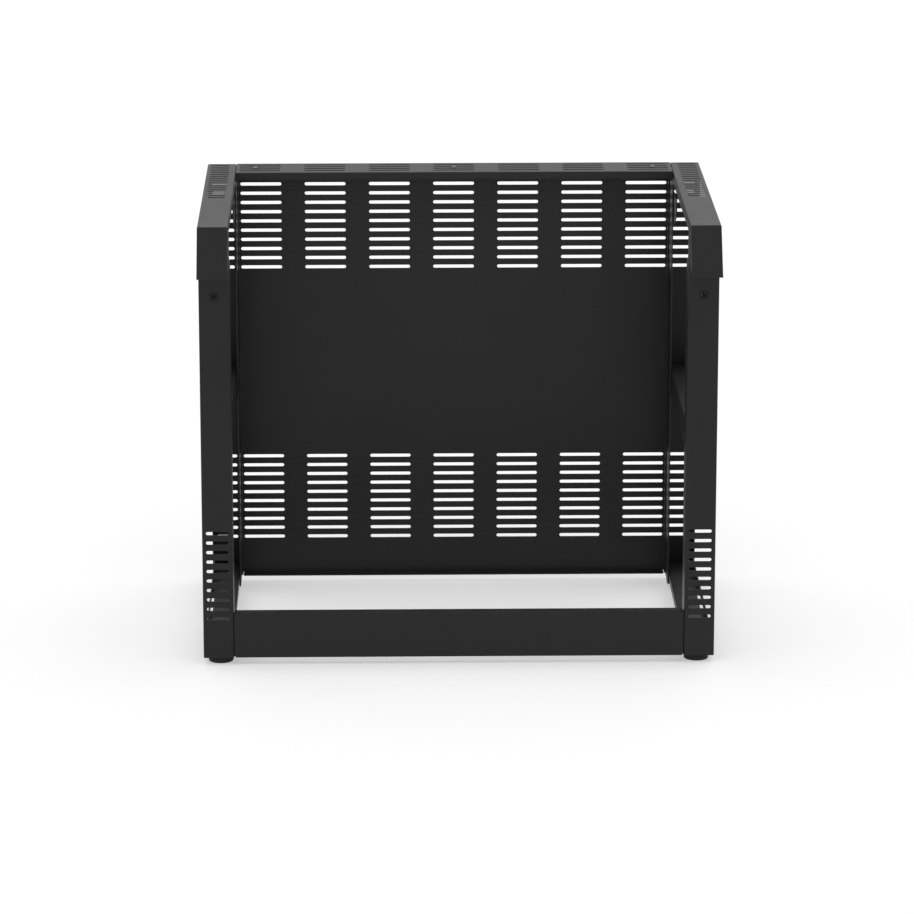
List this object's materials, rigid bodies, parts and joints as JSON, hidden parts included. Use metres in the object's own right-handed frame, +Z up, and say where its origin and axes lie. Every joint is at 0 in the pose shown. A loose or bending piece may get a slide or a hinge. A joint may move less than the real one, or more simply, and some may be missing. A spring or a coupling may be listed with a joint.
{
  "type": "equipment housing frame",
  "caption": "Open housing frame of folded black sheet steel with ventilation slots, sloping side hoods, a low kick plate and screw-down levelling feet.",
  "frame": {"origin": "on the floor, under the middle of the whole frame, hoods included", "axes": "+X to the right seen from the front, +Y towards the back panel, +Z up"},
  "size_m": [0.6, 0.4098, 0.5308],
  "materials": {
    "powder_coat": "satin black powder coat",
    "blackened_steel": "blackened",
    "zinc_plate": "bright zinc plate",
    "rubber": "matte"
  },
  "bodies": {
    "frame": {"back_panel": "powder_coat", "rear_top_rail": "powder_coat", "kick_plate": "powder_coat", "front_post_left": "powder_coat", "front_post_right": "powder_coat", "rear_post_left": "powder_coat", "rear_post_right": "powder_coat", "side_cap_left": "powder_coat", "side_cap_right": "powder_coat", "side_sill_left": "powder_coat", "side_sill_right": "powder_coat", "side_brace_left": "powder_coat", "side_brace_right": "powder_coat", "top_gusset_left": "powder_coat", "top_gusset_right": "powder_coat", "foot_plate_front_left": "powder_coat", "foot_plate_front_right": "powder_coat", "foot_plate_rear_left": "powder_coat", "foot_plate_rear_right": "powder_coat", "rail_cleat_1": "powder_coat", "rail_cleat_2": "powder_coat", "rail_cleat_3": "powder_coat", "cage_nut_left": "blackened_steel", "cage_nut_right": "blackened_steel", "rail_screw_1": "blackened_steel", "rail_screw_2": "blackened_steel", "rail_screw_3": "blackened_steel", "foot_nut_front_left": "zinc_plate", "foot_nut_front_right": "zinc_plate", "foot_nut_rear_left": "zinc_plate", "foot_nut_rear_right": "zinc_plate"},
    "foot_front_left": {"foot_pad_front_left": "rubber"},
    "stud_front_left": {"foot_stud_front_left": "zinc_plate"},
    "foot_front_right": {"foot_pad_front_right": "rubber"},
    "stud_front_right": {"foot_stud_front_right": "zinc_plate"},
    "foot_rear_left": {"foot_pad_rear_left": "rubber"},
    "stud_rear_left": {"foot_stud_rear_left": "zinc_plate"},
    "foot_rear_right": {"foot_pad_rear_right": "rubber"},
    "stud_rear_right": {"foot_stud_rear_right": "zinc_plate"}
  },
  "joints": [
    {"name": "level_front_left", "type": "slide", "parent": "frame", "child": "foot_front_left", "axis": [0, 0, -1], "range_m": [0, 0.006]},
    {"name": "turn_front_left", "type": "hinge", "parent": "foot_front_left", "child": "stud_front_left", "pos_m": [-0.2802, -0.13005, 0.012], "axis": [0, 0, -1], "range_deg": [0, 1740]},
    {"name": "level_front_right", "type": "slide", "parent": "frame", "child": "foot_front_right", "axis": [0, 0, -1], "range_m": [0, 0.006]},
    {"name": "turn_front_right", "type": "hinge", "parent": "foot_front_right", "child": "stud_front_right", "pos_m": [0.2802, -0.13005, 0.012], "axis": [0, 0, -1], "range_deg": [0, 1740]},
    {"name": "level_rear_left", "type": "slide", "parent": "frame", "child": "foot_rear_left", "axis": [0, 0, -1], "range_m": [0, 0.006]},
    {"name": "turn_rear_left", "type": "hinge", "parent": "foot_rear_left", "child": "stud_rear_left", "pos_m": [-0.2802, 0.18435, 0.012], "axis": [0, 0, -1], "range_deg": [0, 1740]},
    {"name": "level_rear_right", "type": "slide", "parent": "frame", "child": "foot_rear_right", "axis": [0, 0, -1], "range_m": [0, 0.006]},
    {"name": "turn_rear_right", "type": "hinge", "parent": "foot_rear_right", "child": "stud_rear_right", "pos_m": [0.2802, 0.18435, 0.012], "axis": [0, 0, -1], "range_deg": [0, 1740]}
  ],
  "couplings": [
    {"joint": "turn_front_left", "follows": "level_front_left", "rad_per_m": 5026.6},
    {"joint": "turn_front_right", "follows": "level_front_right", "rad_per_m": 5026.6},
    {"joint": "turn_rear_left", "follows": "level_rear_left", "rad_per_m": 5026.6},
    {"joint": "turn_rear_right", "follows": "level_rear_right", "rad_per_m": 5026.6}
  ]
}
